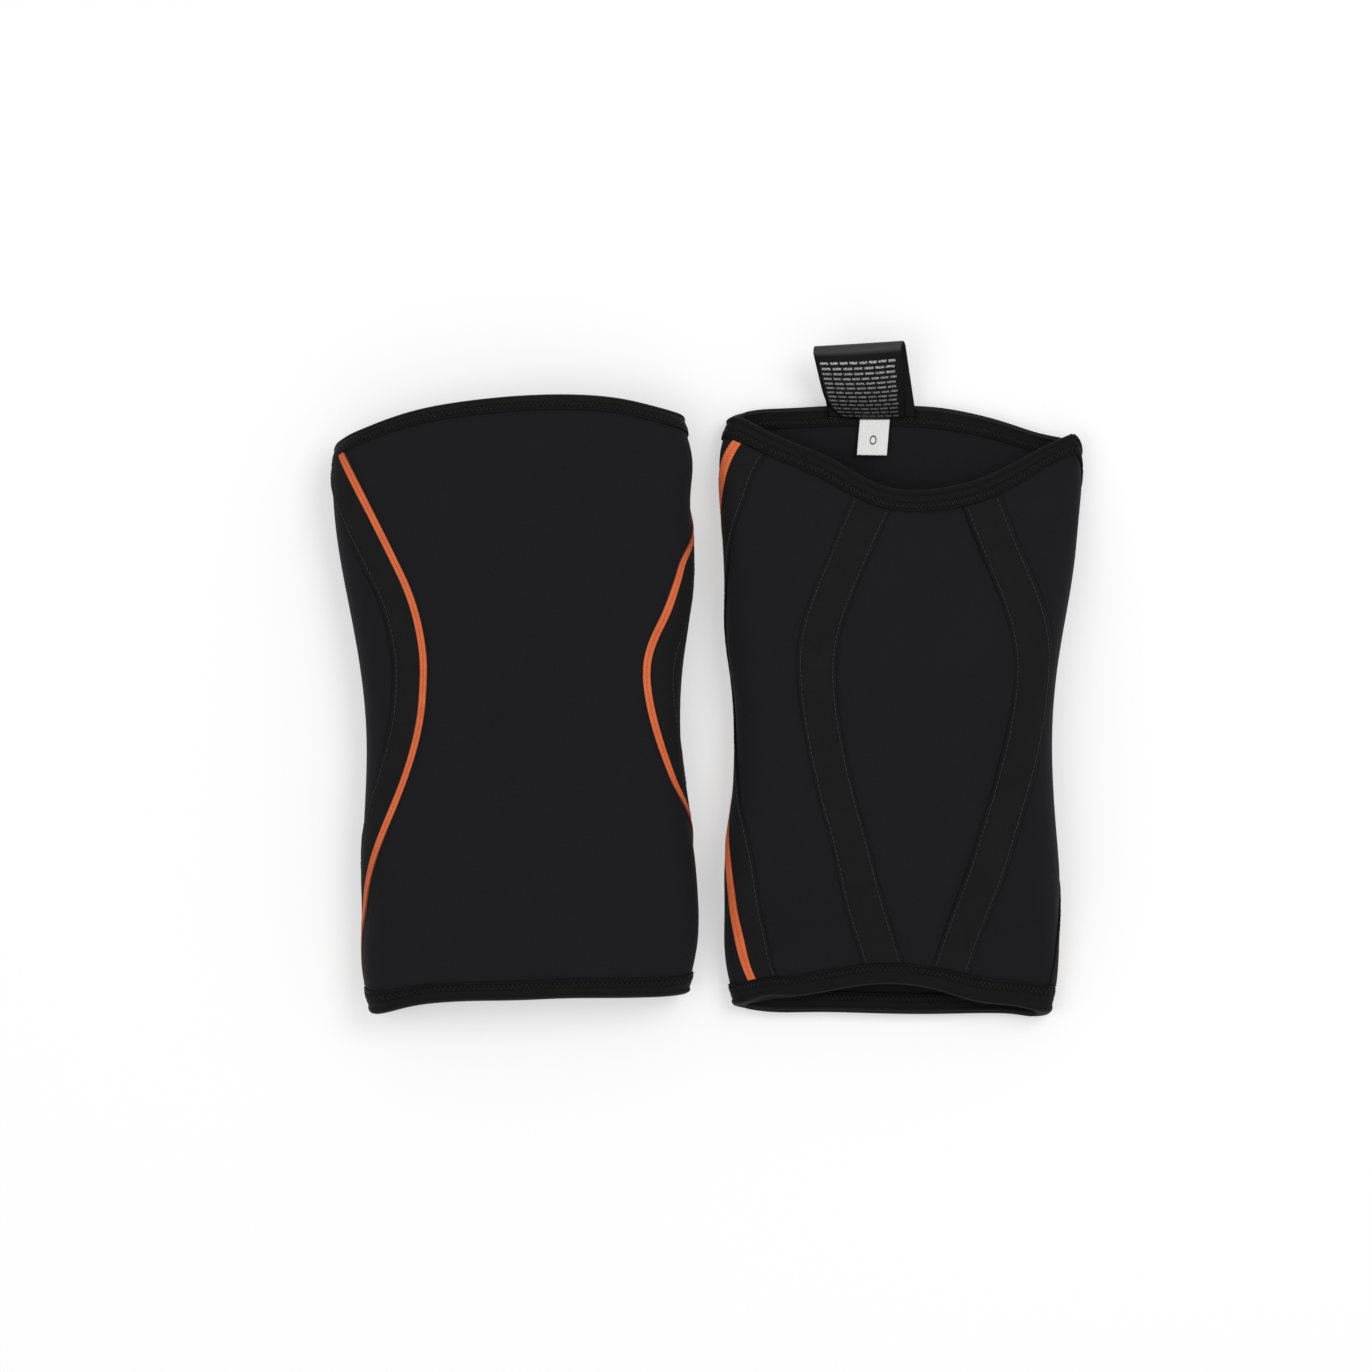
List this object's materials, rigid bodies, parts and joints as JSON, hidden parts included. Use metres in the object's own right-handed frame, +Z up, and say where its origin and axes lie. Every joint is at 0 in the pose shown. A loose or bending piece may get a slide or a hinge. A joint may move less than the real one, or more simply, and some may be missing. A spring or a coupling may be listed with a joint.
{
  "type": "knee sleeves",
  "caption": "Pull-on neoprene compression knee sleeves with panelled sides, taped seams, orange trims and bound edges, lying flat side by side.",
  "frame": {"origin": "middle of the pair's outline, on the surface that the sleeves lie on", "axes": "+X across the pair, from the left sleeve to the right one; +Y up the leg; +Z up from the surface"},
  "size_m": [0.3757, 0.3348, 0.0386],
  "materials": {
    "neoprene": "jersey-faced neoprene, matt",
    "tape": "ribbed seam tape, matt",
    "binding": "folded knit binding",
    "trim": "woven orange trim",
    "thread": "sewing thread",
    "trim_thread": "sewing thread",
    "care_label": "satin ribbon",
    "size_label": "woven ribbon"
  },
  "bodies": {
    "left_sleeve": {"left_front_panel": "neoprene", "left_inner_side_panel": "neoprene", "left_outer_side_panel": "neoprene", "left_back_panel": "neoprene", "left_inner_front_tape": "tape", "left_outer_front_tape": "tape", "left_inner_trim": "trim", "left_outer_trim": "trim", "left_inner_back_tape": "tape", "left_outer_back_tape": "tape", "left_tape_stitching": "thread", "left_trim_stitching": "trim_thread", "left_upper_binding": "binding", "left_upper_hem_stitching": "thread"},
    "left_lower_hem": {"left_lower_binding": "binding", "left_lower_hem_stitching": "thread"},
    "right_sleeve": {"right_front_panel": "neoprene", "right_inner_side_panel": "neoprene", "right_outer_side_panel": "neoprene", "right_back_panel": "neoprene", "right_inner_front_tape": "tape", "right_outer_front_tape": "tape", "right_inner_trim": "trim", "right_outer_trim": "trim", "right_inner_back_tape": "tape", "right_outer_back_tape": "tape", "right_tape_stitching": "thread", "right_trim_stitching": "trim_thread", "right_upper_binding": "binding", "right_upper_hem_stitching": "thread", "right_label_stitching": "thread"},
    "right_lower_hem": {"right_lower_binding": "binding", "right_lower_hem_stitching": "thread"},
    "care_label": {"right_care_label": "care_label"},
    "size_label": {"right_size_label": "size_label"}
  },
  "joints": [
    {"name": "right_sleeve_lift", "type": "slide", "parent": "left_sleeve", "child": "right_sleeve", "axis": [0, 0, 1], "range_m": [0, 0.12]},
    {"name": "left_knee_fold", "type": "hinge", "parent": "left_sleeve", "child": "left_lower_hem", "pos_m": [-0.09214, 0.00173, 0.0185], "axis": [-0.999, -0.0436, 0], "range_deg": [0, 110], "deforming": ["left_front_panel", "left_inner_side_panel", "left_outer_side_panel", "left_back_panel", "left_inner_front_tape", "left_outer_front_tape", "left_inner_trim", "left_outer_trim", "left_inner_back_tape", "left_outer_back_tape", "left_tape_stitching", "left_trim_stitching"]},
    {"name": "right_knee_fold", "type": "hinge", "parent": "right_sleeve", "child": "right_lower_hem", "pos_m": [0.09437, -0.00225, 0.0185], "axis": [-0.9998, 0.0209, 0], "range_deg": [0, 110], "deforming": ["right_front_panel", "right_inner_side_panel", "right_outer_side_panel", "right_back_panel", "right_inner_front_tape", "right_outer_front_tape", "right_inner_trim", "right_outer_trim", "right_inner_back_tape", "right_outer_back_tape", "right_tape_stitching", "right_trim_stitching"]},
    {"name": "care_label_flip", "type": "hinge", "parent": "right_sleeve", "child": "care_label", "pos_m": [0.08264, 0.13012, 0.0083], "axis": [0.9998, -0.0209, 0], "range_deg": [0, 95]},
    {"name": "size_label_flip", "type": "hinge", "parent": "right_sleeve", "child": "size_label", "pos_m": [0.0826, 0.12832, 0.0083], "axis": [-0.9998, 0.0209, 0], "range_deg": [0, 50]}
  ]
}
